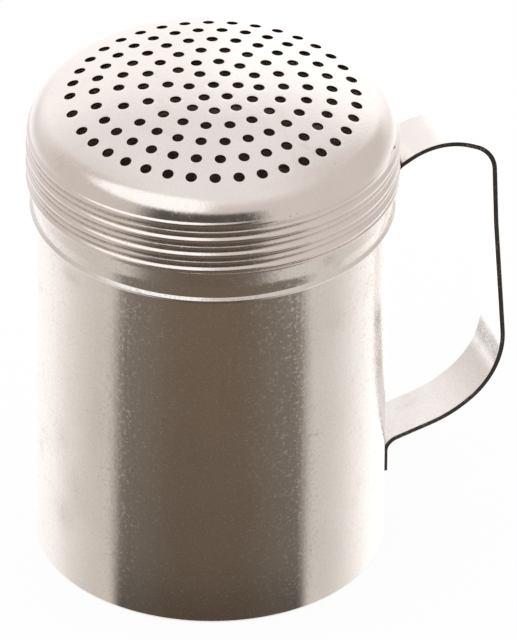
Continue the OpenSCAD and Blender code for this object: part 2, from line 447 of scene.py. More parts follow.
@dataclass(frozen=True)
class SteelFinish:
    """Tumbled stainless sheet: pebbled grain, faint streaks, soft stains, specks, and darkening by
    the mesh's soil and painted shade.

    The grain is smooth for the most part. A share of its pebbles is matt and tilted, and
    these scatter light far to the side, which gives a speckled haze next to an edge. The
    grain, wave, streak, broad, blotch, speck_gap and speck_patch are sizes of patterns. A
    span gives the range of a pattern and what it becomes.
    """

    name: str
    colour: Colour
    shade: Colour
    stain: Colour
    roughness: float
    matt: float = 0.4
    matt_share: float = 0.55
    matt_soft: float = 0.2
    grain: float = 0.75
    grain_depth: float = 0.013
    grain_tone: float = 0.025
    grit_dark: float = 0.25
    grit_span: Pair = (0.32, 0.68)
    fine_share: float = 0.7
    fine_stretch: Colour = (1.13, 0.91, 1.07)
    wave: float = 6.0
    wave_depth: float = 0.015
    streak: float = 0.7
    streak_stretch: Colour = (1, 1, 0.04)
    streak_depth: float = 0.004
    streak_span: Span = (0.35, 0.65, -0.02, 0.02)
    broad: float = 16
    broad_span: Span = (0.35, 0.65, 0, 1)
    blotch: float = 9
    stain_span: Span = (0.62, 0.74, 0, 0.55)
    stain_rough: float = 0.12
    speck_gap: float = 2.6
    speck_share: float = 0.035
    speck_soft: float = 0.025
    speck_patch: float = 11
    speck_span: Span = (0.56, 0.62, 0, 0.7)
    speck_colour: Colour = (0.12, 0.105, 0.09)
    soil_and_shade_share: float = 0.6
    soil_and_shade_blotch: Span = (0.35, 0.6, 0.6, 1.05)
    soil_and_shade_grain: Span = (0.35, 0.65, 0.7, 1.1)
    soil_and_shade_colour: Colour = (0.33, 0.28, 0.225)
    metal: float = 1

    def make(self) -> Material:
        """Makes the material: colours one over the other, then roughness and bumps.

        Returns:
            The material.
        """
        w = Weave(self.name)
        pebble = w.noise(self.grain, detail=1.5, rough=0.65)
        fine = w.noise(self.grain * self.fine_share, 1, place=w.stretched(self.fine_stretch))
        streak = w.noise(self.streak, place=w.stretched(self.streak_stretch))
        blotch = w.noise(self.blotch, detail=4, rough=0.62, warp=0.6)
        broad = w.span(w.noise(self.broad, detail=3, rough=0.55), *self.broad_span)
        tone = w.blend(broad, rgba(self.colour), rgba(self.shade))
        worn = w.span(blotch, *self.stain_span)
        tone = w.blend(worn, tone, rgba(self.stain))
        grit = w.span(fine, *self.grit_span, 0, self.grain_tone)
        tone = w.blend(grit, tone, rgba(tuple(self.grit_dark * c for c in self.stain)))
        speck_end = self.speck_share + self.speck_soft
        dot = w.span(w.cells(self.speck_gap), self.speck_share, speck_end, 1, 0)
        rare = w.span(w.noise(self.speck_patch, detail=1), *self.speck_span)
        tone = w.blend(w.maths("MULTIPLY", dot, rare), tone, rgba(self.speck_colour))
        # The mesh's darkening: real stains and scuffs, and painted shade in thread roots and on
        # the strap's lower arm.
        soil_and_shade = w.maths("MULTIPLY", w.attribute("soil_and_shade"), self.soil_and_shade_share,
                       w.span(blotch, *self.soil_and_shade_blotch), w.span(fine, *self.soil_and_shade_grain))
        tone = w.blend(soil_and_shade, tone, rgba(self.soil_and_shade_colour))
        rough = w.span(pebble, self.matt_share, self.matt_share + self.matt_soft, self.roughness,
                       self.matt)
        rough = w.maths("ADD", rough, w.span(streak, *self.streak_span),
                        w.maths("MULTIPLY", worn, self.stain_rough))
        bumps = w.relief(w.noise(self.wave), self.wave_depth)
        bumps = w.relief(streak, self.streak_depth, bumps)
        bumps = w.relief(pebble, self.grain_depth, bumps)
        return w.dress(tone, rough, bumps, self.metal)


@dataclass(frozen=True)
class ShearedEdge:
    """Torn steel of a sheared edge, with short light marks in patches; its dark colour is painted
    shade.
    """

    name: str
    colour: Colour
    light: Colour
    torn: float = 0.35
    torn_depth: float = 0.05
    mark_span: Span = (0.55, 0.75, 0, 1)
    patch: float = 4
    patch_span: Span = (0.45, 0.65, 0.1, 1)
    rough_span: Span = (0.3, 0.7, 0.45, 0.7)
    metal: float = 0.6

    def make(self) -> Material:
        """Makes the material: marks over the dark colour, then roughness and bumps.

        Returns:
            The material.
        """
        w = Weave(self.name)
        torn = w.noise(self.torn, detail=3, rough=0.6)
        marks = w.maths("MULTIPLY", w.span(torn, *self.mark_span),
                        w.span(w.noise(self.patch), *self.patch_span))
        tone = w.blend(marks, rgba(self.colour), rgba(self.light))
        bumps = w.relief(torn, self.torn_depth)
        return w.dress(tone, w.span(torn, *self.rough_span), bumps, self.metal)


@dataclass(frozen=True)
class WeldFinish:
    """Dull steel of a spot weld with straw and blue heat tints."""

    name: str
    colour: Colour
    straw: Colour
    blue: Colour
    heat: float = 1.1
    straw_span: Span = (0.4, 0.55, 0, 1)
    blue_span: Span = (0.56, 0.7, 0, 0.8)
    pit: float = 0.25
    pit_depth: float = 0.06
    rough_span: Span = (0.3, 0.7, 0.32, 0.55)

    def make(self) -> Material:
        """Makes the material: straw over the steel and blue over both, then the pits.

        Returns:
            The material.
        """
        w = Weave(self.name)
        heat = w.noise(self.heat, detail=3, rough=0.55, warp=0.4)
        tone = w.blend(w.span(heat, *self.straw_span), rgba(self.colour), rgba(self.straw))
        tone = w.blend(w.span(heat, *self.blue_span), tone, rgba(self.blue))
        pit = w.noise(self.pit, rough=0.6)
        return w.dress(tone, w.span(pit, *self.rough_span), w.relief(pit, self.pit_depth), 1)


CAN_OUTSIDE = SteelFinish("can steel outside", (0.885, 0.87, 0.848), (0.85, 0.832, 0.806),
                          (0.72, 0.665, 0.605), roughness=0.17, matt_share=0.52,
                          grain_depth=0.015, grain_tone=0.07)
CAN_INSIDE = SteelFinish("can steel inside", (0.62, 0.53, 0.44), (0.55, 0.47, 0.39),
                         (0.4, 0.33, 0.26), roughness=0.5, matt=0.62, metal=0.2)
LID_OUTSIDE = SteelFinish("lid steel outside", (0.885, 0.845, 0.83), (0.85, 0.807, 0.79),
                          (0.76, 0.7, 0.665), roughness=0.16, matt=0.34, matt_share=0.56,
                          grain_depth=0.011, grain_tone=0.04, wave_depth=0.022)
LID_INSIDE = replace(CAN_INSIDE, name="lid steel inside")
# Near-black hole walls and rolled edges: painted shade for the holes' dark insides.
SHADED_HOLE_EDGE = SteelFinish("punched hole edge in painted shade", (0.14, 0.115, 0.095), (0.1, 0.082, 0.068),
                        (0.08, 0.062, 0.05), roughness=0.5, matt=0.62, grain=0.3)
STRAP_FACE = SteelFinish("strap steel", (0.97, 0.94, 0.93), (0.94, 0.905, 0.893),
                         (0.86, 0.81, 0.79), roughness=0.2, matt=0.3, matt_share=0.56,
                         grain_depth=0.006, grain_tone=0.03, wave_depth=0.014,
                         speck_share=0.0, soil_and_shade_colour=(0.22, 0.22, 0.215))
# Near-black strap edges and ends: painted shade, as the edges lie in shadow.
SHADED_STRAP_EDGE = ShearedEdge("sheared strap edge in painted shade", (0.033, 0.029, 0.025), (0.5, 0.46, 0.42))
WELD_STEEL = WeldFinish("spot weld steel", (0.42, 0.4, 0.38), (0.5, 0.4, 0.26), (0.25, 0.27, 0.36))


# The thread


@dataclass(frozen=True)
class Thread:
    """Rolled right-handed thread with a low rib between its turns.

    Places, flats and slopes are shares of the pitch. The crest lies at crest_z at the handle
    and rises by one pitch per turn. Over soft_step the ridge sinks by soft_share and its
    sides grow narrower by soft_slope. Painted shade, with some grime, darkens the roots,
    less at an angle away from darkest_at, and none above shade_top_step.
    """

    pitch: float = 3.5
    crest_z: float = 93.99
    flat: float = 0.03
    slope: float = 0.27
    rib_place: float = -0.497
    rib_slope: float = 0.195
    rib_share: float = 0.54
    run_out: float = 20
    soft_step: Pair = (94.4, 2)
    soft_share: float = 0.5
    soft_slope: float = 0.4
    root_shade_reach: float = 0.3
    darkest_at: float = 210
    aside_fade: float = 0.75
    aside_fade_step: Pair = (50, 30)
    shade_top_step: Pair = (95.5, 0.9)

    def turn(self, turns: Array, angle: Array, ends: Pair, flat: float, slope: float) -> Array:
        """Ridge round the whole numbers of turns: 1 on its flat, then a cosine step to 0.

        Args:
            turns: number of pitches above the helix that the ridge follows.
            angle: angles round the axis, 0 to 360.
            ends: angles, counted on from turn to turn, at which the ridge starts and ends.
            flat: half the width of its flat.
            slope: width of its side.

        Returns:
            The height for each point, from 0 to 1.
        """
        k = np.round(turns)
        along = angle + 360 * k
        fade = np.clip((along - ends[0]) / self.run_out, 0, 1)
        fade = fade * np.clip((ends[1] - along) / self.run_out, 0, 1)
        return fade * (1 - smooth(np.abs(turns - k), flat, slope))

    def height(self, z: Array, angle: Array, ends: Pair, rib: bool = False) -> Array:
        """Height of the thread over its root, from 0 to 1.

        Args:
            z: heights.
            angle: angles round the axis, 0 to 360.
            ends: angles at which the thread starts and ends.
            rib: whether the low rib runs between the turns.

        Returns:
            The height for each point.
        """
        turns = (z - self.crest_z) / self.pitch - angle / 360
        soft = smooth(z, *self.soft_step)
        side = self.slope * (1 - self.soft_slope * soft)
        height = (1 - self.soft_share * soft) * self.turn(turns, angle, ends, self.flat, side)
        if rib:
            ends = (ends[0], ends[1] + self.run_out)
            low = self.turn(turns - self.rib_place, angle, ends, 0, self.rib_slope)
            height = height + self.rib_share * low
        return height

    def soil_and_shade(self, z: Array, angle: Array, ends: Pair) -> Array:
        """How much painted shade, with some grime, darkens the roots of the thread and its rib.

        Args:
            z: heights.
            angle: angles round the axis, 0 to 360.
            ends: angles at which the thread starts and ends.

        Returns:
            The darkening for each point, from 0 to 1.
        """
        # Painted shade, with some grime, low in the roots; fainter at angles away from one side
        # and gone near the top.
        root = 1 - smooth(self.height(z, angle, ends, rib=True), width=self.root_shade_reach)
        aside_fade = self.aside_fade * smooth(np.abs(angle - self.darkest_at), *self.aside_fade_step)
        return root * (1 - aside_fade) * (1 - smooth(z, *self.shade_top_step))


# The can


@dataclass
class Can:
    """Drawn can: foot, wall, bead and collar, then the threaded neck and its rolled mouth.

    A corner of the collar is given by its way out from collar_r, its rise over bead_z and
    its bend radius. A stain is given by its angle and height, how far it reaches in both,
    and its strength.
    """

    finishes: list[Material]
    radius: float = 35
    wall: float = 0.5
    corner_r: float = 1.0
    bead_foot: Pair = (77.15, 0.9)
    bead_r: float = 36.6
    bead_z: float = 78.36
    bead_bend: float = 0.12
    collar_r: float = 36.05
    collar_corners: tuple[Corner, ...] = ((-0.03, 0.67, 0.14), (0.06, 2.9, 6), (-0.26, 5.9, 2.5))
    collar_top_z: float = 85.4
    line_step: float = 1.5
    neck_root_r: float = 35.95
    neck_ridge: float = 0.7
    neck_top_z: float = 95.7
    neck_taper: float = 0.4
    neck_rows: int = 80
    mouth_r: float = 35.5
    roll_r: float = 0.6
    roll_rise: float = 1.1
    roll_turn: float = 250
    roll_back: float = 0.55
    roll_points: int = 26
    roll_step: float = 0.3
    thread: Thread = Thread(soft_share=0, soft_slope=0)
    thread_ends: Pair = (-660, 40)
    turns: int = 288
    stains: tuple[tuple[float, ...], ...] = (
        (-166, 15, 5, 4, 0.5), (-160, 24, 6, 5, 0.35), (-168, 34, 4, 3, 0.35),
        (-163, 74, 5, 1.6, 0.5), (-150, 46, 3, 12, 0.2), (-70, 82.5, 2.5, 1, 0.6),
        (-66, 80.6, 2, 0.8, 0.5), (-64, 66, 4, 3, 0.2))

    def shell_line(self) -> Array:
        """Outer line of the can from the middle of its foot up to the collar's top.

        Returns:
            Points (r, z) of the line.
        """
        corners = [(0, 0, 0), (self.radius, 0, self.corner_r), (self.radius, *self.bead_foot),
                   (self.bead_r, self.bead_z, self.bead_bend)]
        corners += [(self.collar_r + out, self.bead_z + up, bend)
                    for out, up, bend in self.collar_corners]
        corners.append((self.collar_r, self.collar_top_z, 0))
        return filled_in(rounded_line(corners), self.line_step)

    def stained(self, grid: Array) -> Array:
        """Stains of the wall: each one fades as a bell curve over angle and height.

        Args:
            grid: points of the wall.

        Returns:
            How stained each point is, from 0 to 1.
        """
        angle = np.degrees(np.arctan2(grid[..., 1], grid[..., 0]))
        total = np.zeros(grid.shape[:2])
        for at, z, wide, high, share in self.stains:
            off = (angle - at + 180) % 360 - 180
            total += share * np.exp(-(off / wide) ** 2 - ((grid[..., 2] - z) / high) ** 2)
        return np.minimum(total, 1)

    def shell(self) -> None:
        """Foot, wall, bead and collar: the section of the sheet turned about the axis."""
        outer = self.shell_line()
        inner = outer - line_normals(outer) * self.wall
        inner[0] = (0, self.wall)
        inner[-1] = (self.collar_r - self.wall, self.collar_top_z)
        blank = Blank()
        outside = lathe(outer, self.turns)
        blank.add_grid(outside, soil_and_shade=self.stained(outside))
        blank.add_grid(lathe(np.stack([outer[-1], inner[-1]]), self.turns))
        blank.add_grid(lathe(inner[::-1], self.turns), finish=1)
        blank.make("can_shell", Body.CAN, Slot.CAN, ["can_body"], self.finishes)

    def neck(self) -> None:
        """Threaded neck: radius = base line + ridge, over a grid of heights and angles."""
        z = np.linspace(self.collar_top_z, self.neck_top_z, self.neck_rows)[:, None]
        angle = around(self.turns)
        base = mixed(smooth(z, self.collar_top_z), self.collar_r, self.neck_root_r)
        taper = smooth(z, self.neck_top_z - self.neck_taper, self.neck_taper)
        base = mixed(taper, base, self.mouth_r)
        rise = self.thread.height(z, angle, self.thread_ends)
        radius = base + self.neck_ridge * rise * (1 - taper)
        blank = Blank()
        blank.add_sleeve(ring_grid(radius, z, angle), ring_grid(radius - self.wall, z, angle))
        blank.make("can_neck_thread", Body.CAN, Slot.CAN, ["can_neck"], self.finishes)

    def mouth(self) -> None:
        """Rolled mouth: the wall's last stretch and an arc that turns inwards and down."""
        centre = np.array([self.mouth_r - self.roll_r, self.neck_top_z + self.roll_rise])
        arc = np.radians(np.linspace(0, self.roll_turn, self.roll_points))
        inner_r = self.mouth_r - self.wall
        back = [(inner_r, self.neck_top_z + self.roll_back), (inner_r, self.neck_top_z)]
        section = [[(self.mouth_r, self.neck_top_z)], centre + self.roll_r * polar(arc), back]
        blank = Blank()
        section = filled_in(np.concatenate(section), self.roll_step)
        blank.add_grid(lathe(section, self.turns), close_rows=True)
        blank.make("can_mouth_roll", Body.CAN, Slot.CAN, ["mouth_curl"], self.finishes[:1])


# The lid


@dataclass
class Lid:
    """Stamped lid: perforated crown with its shoulder, threaded skirt and trimmed rim.

    The holes stand in rings round a middle one. A ring is given by its number of holes, the
    angle of its seam, where one more stands, and the distance from hole to hole along it.
    """

    finishes: list[Material]
    top_z: float = 106
    crown_curve: float = 167
    droop: float = 1.1
    droop_r: float = 28.59
    crown_r: float = 32.8
    skirt_r: float = 36.8
    sheet: float = 0.45
    ridge: float = 0.6
    joint_z: float = 97.6
    brim_points: tuple[int, int] = (7, 32)
    skirt_z: float = 85.45
    skirt_rows: int = 149
    rim_low_z: float = 84.96
    rim_lap: float = 0.02
    rim_out: Pair = (0.08, 0.5)
    rim_bends: Pair = (0.15, 0.12)
    rim_step: float = 0.2
    rim_arc: int = 5
    thread: Thread = Thread(run_out=40)
    thread_ends: Pair = (-1440, 280)
    turns: int = 288
    hole_r: float = 1.06
    hole_roll: float = 0.1
    roll_points: int = 6
    hole_drop: float = 0.7
    hole_sides: int = 28
    field_r: float = 30.6
    field_step: float = 0.75
    hole_clear: float = 0.35
    edge_clear: float = 0.4
    ring_pitch: float = 4.88
    ring_inset: float = 0.69
    rings: tuple[tuple[int, float, float], ...] = (
        (6, 284.3, 5.27), (12, 157.7, 4.54), (18, 182.1, 4.78), (24, 178.8, 4.76),
        (31, 171.5, 4.76), (37, 171.3, 4.76))

    def crown_z(self, r: Array) -> Array:
        """Height of the crown: an arc less a drop that grows with the radius to the fourth."""
        return self.top_z - r ** 2 / (2 * self.crown_curve) - self.droop * (r / self.droop_r) ** 4

    def crown_slope(self, r: Array) -> Array:
        """Slope angle of the crown in radians, from the slope of crown_z."""
        return np.arctan(r / self.crown_curve + 4 * self.droop * r ** 3 / self.droop_r ** 4)

    def crown_points(self, flat: Array, depth: float = 0) -> Array:
        """Points under the crown: each goes in and down, square to the surface.

        Args:
            flat: places (x, y) on the crown.
            depth: how far the points lie below the surface.

        Returns:
            Points (x, y, z).
        """
        r = np.linalg.norm(flat, axis=-1, keepdims=True)
        slope = self.crown_slope(r)
        inward = 1 - depth * np.sin(slope) / np.maximum(r, SAME_PLACE)
        return np.concatenate([flat * inward, self.crown_z(r) - depth * np.cos(slope)], axis=-1)

    def shoulder(self) -> tuple[float, float, float]:
        """Arc that touches both the crown and the skirt.

        Returns:
            Its radius and its centre (r, z).
        """
        slope = self.crown_slope(self.crown_r)
        arc_r = (self.skirt_r - self.crown_r) / (1 - np.sin(slope))
        return arc_r, self.skirt_r - arc_r, self.crown_z(self.crown_r) - arc_r * np.cos(slope)

    def brim_line(self, depth: float) -> Array:
        """Line from the edge of the holed field over the shoulder down to the joint.

        Args:
            depth: how far the line lies below the outer surface.

        Returns:
            Points (r, z) of the line.
        """
        r = np.linspace(self.field_r, self.crown_r, self.brim_points[0])
        crown = self.crown_points(np.stack([r, 0 * r], -1), depth)[:, ::2]
        arc_r, mid_r, mid_z = self.shoulder()
        low = np.arcsin((self.joint_z - mid_z) / (arc_r - depth))
        high = np.pi / 2 - self.crown_slope(self.crown_r)
        a = np.linspace(high, low, self.brim_points[1])[1:]
        return np.concatenate([crown, np.array([mid_r, mid_z]) + (arc_r - depth) * polar(a)])

    def hole_centres(self) -> Array:
        """Centres of the holes: each ring is stepped round from its seam.

        Returns:
            Places (x, y).
        """
        centres = [np.zeros((1, 2))]
        for k, (count, seam, arc) in enumerate(self.rings, start=1):
            r = k * self.ring_pitch - (self.ring_inset if k > 1 else 0)
            step = 360 * arc / (2 * np.pi * r)
            gap = (360 - (count - 2) * step) / 2
            angle = np.append(seam + gap + np.arange(count - 1) * step, seam)
            centres.append(r * polar(np.radians(angle)))
        return np.concatenate(centres)

    def flat_field(self, centres: Array, reach: float) -> tuple[Array, Array]:
        """Triangles that fill the field's circle and leave the holes open.

        The inner points are a triangular lattice, without those close to a hole or to
        the field's edge. They are joined with the rims of the holes and of the field. A
        triangle whose middle lies within a hole's rim is left out.

        Args:
            centres: centres of the holes.
            reach: radius of the rim round each hole.

        Returns:
            Points (x, y) and three point numbers for each triangle.
        """
        edge = self.field_r * polar(np.radians(around(self.turns)))
        rims = centres[:, None] + reach * polar(np.radians(around(self.hole_sides)))
        row_gap = self.field_step * np.sqrt(3) / 2
        most = int(np.ceil(self.field_r / row_gap))
        i, j = np.meshgrid(np.arange(-most, most + 1), np.arange(-most, most + 1))
        lattice = np.stack([(i + 0.5 * (j % 2)) * self.field_step, j * row_gap], -1).reshape(-1, 2)
        near = np.linalg.norm(lattice[:, None] - centres, axis=-1).min(1)
        inside = np.linalg.norm(lattice, axis=1) < self.field_r - self.edge_clear
        lattice = lattice[(near > reach + self.hole_clear) & inside]
        points = np.concatenate([edge, rims.reshape(-1, 2), lattice])
        rings = len(edge) + np.arange(rims.shape[0] * rims.shape[1]).reshape(rims.shape[:2])
        loops = [np.arange(len(edge)), *rings]
        ties = np.concatenate([np.stack([loop, np.roll(loop, -1)], -1) for loop in loops])
        result = delaunay_2d_cdt([Vector(p) for p in points.tolist()], ties.tolist(), [], 0,
                                 SAME_PLACE)
        flat = np.array([tuple(p) for p in result[0]])
        faces = np.array(result[2])
        near = np.linalg.norm(flat[faces].mean(1)[:, None] - centres, axis=-1).min(1)
        return flat, faces[near > reach * np.cos(np.pi / self.hole_sides)]

    def crown(self) -> None:
        """Perforated crown and shoulder.

        The field and its underside are the flat field lifted to the crown's height. Each
        hole's edge rolls over as a quarter arc and goes straight down through the sheet.
        """
        centres = self.hole_centres()
        reach = self.hole_r + self.hole_roll
        flat, faces = self.flat_field(centres, reach)
        blank = Blank()
        blank.add(self.crown_points(flat), faces)
        blank.add(self.crown_points(flat, self.sheet), faces, finish=1)
        turn = np.linspace(0, np.pi / 2, self.roll_points)
        out = np.append(reach - self.hole_roll * np.sin(turn), self.hole_r)
        down = np.append(self.hole_roll * (1 - np.cos(turn)), self.sheet * self.hole_drop)
        ring = polar(np.radians(around(self.hole_sides)))
        walls = self.crown_points(centres[:, None, None] + out[:, None, None] * ring)
        walls[..., 2] -= down[:, None]
        last = self.crown_points(centres[:, None] + reach * ring, self.sheet)
        walls = np.concatenate([walls, last[:, None]], axis=1)
        holes, rows, sides = walls.shape[:3]
        first = np.arange(holes)[:, None, None] * rows * sides
        faces = (grid_faces(rows, sides, False, True) + first).reshape(-1, 4)
        # The hole walls take the near-black finish, which is painted shade.
        blank.add(walls, faces, finish=2)
        outer, inner = self.brim_line(0), self.brim_line(self.sheet)
        blank.add_grid(lathe(outer, self.turns))
        blank.add_grid(lathe(inner, self.turns), finish=1)
        blank.add_grid(lathe(np.stack([outer[-1], inner[-1]]), self.turns))
        blank.make("lid_crown_sheet", Body.LID, Slot.LID, ["lid_crown"], self.finishes)

    def skirt(self) -> None:
        """Threaded skirt: radius = plain skirt or shoulder arc, plus the ridge."""
        z = np.linspace(self.skirt_z, self.joint_z, self.skirt_rows)[:, None]
        angle = around(self.turns)
        arc_r, mid_r, mid_z = self.shoulder()
        above = np.maximum(z - mid_z, 0)
        rise = self.ridge * self.thread.height(z, angle, self.thread_ends, rib=True)
        outer, inner = (ring_grid(mid_r + np.sqrt(r ** 2 - above ** 2) + rise, z, angle)
                        for r in (arc_r, arc_r - self.sheet))
        blank = Blank()
        # The roots' darkening is painted shade, with some grime.
        blank.add_sleeve(outer, inner, self.thread.soil_and_shade(z, angle, self.thread_ends))
        blank.make("lid_skirt_thread", Body.LID, Slot.LID, ["lid_skirt"], self.finishes[:2])

    def rim(self) -> None:
        """Trimmed lower edge of the lid: a rounded section turned about the axis."""
        low, high = self.rim_low_z, self.skirt_z + self.rim_lap
        inner, outer = (self.skirt_r + out for out in self.rim_out)
        under, over = self.rim_bends
        start = ((inner + outer) / 2, low, 0)
        corners = [start, (outer, low, under), (outer, high, over), (inner, high, over),
                   (inner, low, under), start]
        section = filled_in(rounded_line(corners, self.rim_arc), self.rim_step)[:-1]
        blank = Blank()
        blank.add_grid(lathe(section, self.turns), close_rows=True)
        blank.make("lid_rim", Body.LID_EDGE, Slot.LID, ["lid_hem"], self.finishes[:1])


# The handle


@dataclass
class Handle:
    """Flat strap bent into a grip, with a tab at each end that lies on the can's wall.

    The upper bends are given by height and bend radius in turn, and the grip's corners by
    x, z and bend radius, from the upper tab down. The scuff is given by x, z and how far it
    reaches along both. Below the scuff's height the strap is darkened evenly, as painted shade.
    """

    finishes: list[Material]
    weld_finish: Material
    width: float = 11.5
    thickness: float = 1.0
    edge_round: float = 0.06
    edge_part: float = 0.02
    can_r: float = 35
    joggle_r: float = 37.05
    bow: float = 0.3
    bow_step: float = 1.2
    scuff: Span = (58.8, 32.8, 4.5, 3)
    scuff_step: Pair = (0.3, 0.91)
    lower_arm_shade: float = 0.22
    lower_arm_shade_step: float = 3
    low_end: float = 9.5
    high_end: float = 69
    upper_bends: tuple[float, ...] = (75.65, 1.2, 77.4, 1.5, 81.7, 2.5)
    grip: tuple[Corner, ...] = ((46.3, 86.9, 14), (57.8, 81.56, 7), (58.45, 64.4, 60),
                                (60.85, 28.35, 17), (49.15, 20.14, 24))
    lower_bend: Pair = (16.4, 3)
    line_step: float = 0.35
    columns: int = 40
    arc_steps: tuple[int, int] = (20, 3)
    crease: float = 30
    weld_r: float = 1.6
    weld_gap: float = 5.6
    weld_depth: float = 0.12
    weld_soft: float = 0.6
    weld_crown: Pair = (0.02, -0.1)
    weld_flat: int = 6
    weld_grid: tuple[int, int] = (10, 32)
    low_weld_z: float = 12.0
    high_weld_z: float = 72.0

    def middle_line(self) -> Array:
        """Middle line of the strap in the plane of the handle, from the upper tab down.

        Returns:
            Points (x, z) of the line.
        """
        tab = self.can_r + self.thickness / 2
        tab_z, tab_bend, foot_z, foot_bend, head_z, head_bend = self.upper_bends
        corners = [(tab, self.high_end, 0), (tab, tab_z, tab_bend),
                   (self.joggle_r, foot_z, foot_bend), (self.joggle_r, head_z, head_bend),
                   *self.grip, (tab, *self.lower_bend), (tab, self.low_end, 0)]
        return filled_in(rounded_line(corners, self.arc_steps[0]), self.line_step)

    def section(self) -> tuple[Array, Array]:
        """Section of the strap, a flat oblong with rounded corners.

        Returns:
            Places across its width and through its thickness.
        """
        w, t, r = self.width / 2, self.thickness / 2, self.edge_round
        corners = [(0, t, 0), (-w, t, r), (-w, -t, r), (w, -t, r), (w, t, r), (0, t, 0)]
        loop = rounded_line(corners, self.arc_steps[1])
        return tuple(filled_in(loop, self.width / self.columns)[:-1].T)

    def dish(self, y: Array, z: Array) -> Array:
        """Depth of the weld dents, from the distance to the nearest weld's middle.

        Args:
            y: places across the strap.
            z: heights.

        Returns:
            The depth for each point.
        """
        side = np.abs(y) - self.weld_gap / 2
        up = np.minimum(np.abs(z - self.low_weld_z), np.abs(z - self.high_weld_z))
        return self.weld_depth * smooth(self.weld_r - np.hypot(side, up), width=self.weld_soft)

    def bowed(self, reach: Array, y: Array) -> Array:
        """Way in towards the can: a share of d - sqrt(d^2 - y^2) at distance d from the axis."""
        return self.bow * (reach - np.sqrt(reach ** 2 - y ** 2))

    def strap(self) -> None:
        """Strap: the section carried along the middle line, and bowed to the wall at its tabs."""
        line = self.middle_line()
        side = -line_normals(line)
        y, through = self.section()
        x, z = line[:, :1], line[:, 1:]
        tab = self.can_r + self.thickness / 2
        on_can = 1 - smooth(x, tab, self.bow_step)
        outside = np.where(through > 0, 1, 0)
        depth = through - outside * self.dish(y, z) * on_can
        px, pz = x + side[:, :1] * depth, z + side[:, 1:] * depth
        px = px - on_can * self.bowed(tab + depth, y)
        grid = np.stack(np.broadcast_arrays(px, y, pz), axis=-1)
        scuff_x, scuff_z, along, up = self.scuff
        far = np.hypot((px - scuff_x) / along, (pz - scuff_z) / up)
        # Painted shade: the strap below the scuff's height is darkened evenly; the scuff itself is
        # wear.
        arm_shade = self.lower_arm_shade * smooth(scuff_z - pz, width=self.lower_arm_shade_step)
        soil_and_shade = (1 - outside) * np.maximum(1 - smooth(far, *self.scuff_step), arm_shade)
        blank = Blank()
        edge = np.abs(np.broadcast_to(y, grid.shape[:2])) > self.width / 2 - self.edge_part
        faces = grid_faces(*grid.shape[:2], False, True)
        on_edge = edge.reshape(-1)[faces].all(1)
        blank.add(grid, faces[~on_edge], soil_and_shade=soil_and_shade)
        # The edges and ends take the near-black finish, which is painted shade.
        blank.add(grid, faces[on_edge], finish=1, soil_and_shade=soil_and_shade)
        ends = np.arange(grid.shape[1])[None]
        blank.add(grid[0], ends, finish=1)
        blank.add(grid[-1], ends, finish=1)
        blank.make("handle_strap", Body.CAN, Slot.STRAP, ["handle_strap"], self.finishes,
                   self.crease)

    def welds(self, name: str, node: str, z_mid: float) -> None:
        """Two dished weld spots that fill the dents of a tab.

        Args:
            name: name of the piece.
            node: the frame's node that it stands for.
            z_mid: height of the welds.
        """
        rings, sides = self.weld_grid
        share = np.linspace(0, 1, rings)[:, None]
        a = np.radians(around(sides))
        blank = Blank()
        for side in (-1, 1):
            for lift in self.weld_crown:
                y = side * self.weld_gap / 2 + self.weld_r * share * np.cos(a)
                z = z_mid + self.weld_r * share * np.sin(a)
                reach = self.can_r + self.thickness - self.dish(y, z)
                reach = reach + lift * (1 - share ** self.weld_flat)
                blank.add_grid(np.stack([reach - self.bowed(reach, y), y, z], -1))
        blank.make(name, Body.CAN, Slot.WELD, [node], [self.weld_finish])


# The studio


def off_camera(turn: float, off: Array, distance: Array) -> Array:
    """Floor points at an angle off the camera's side of the can and at a distance."""
    return distance[..., None] * polar(np.radians(turn - 90 + off))


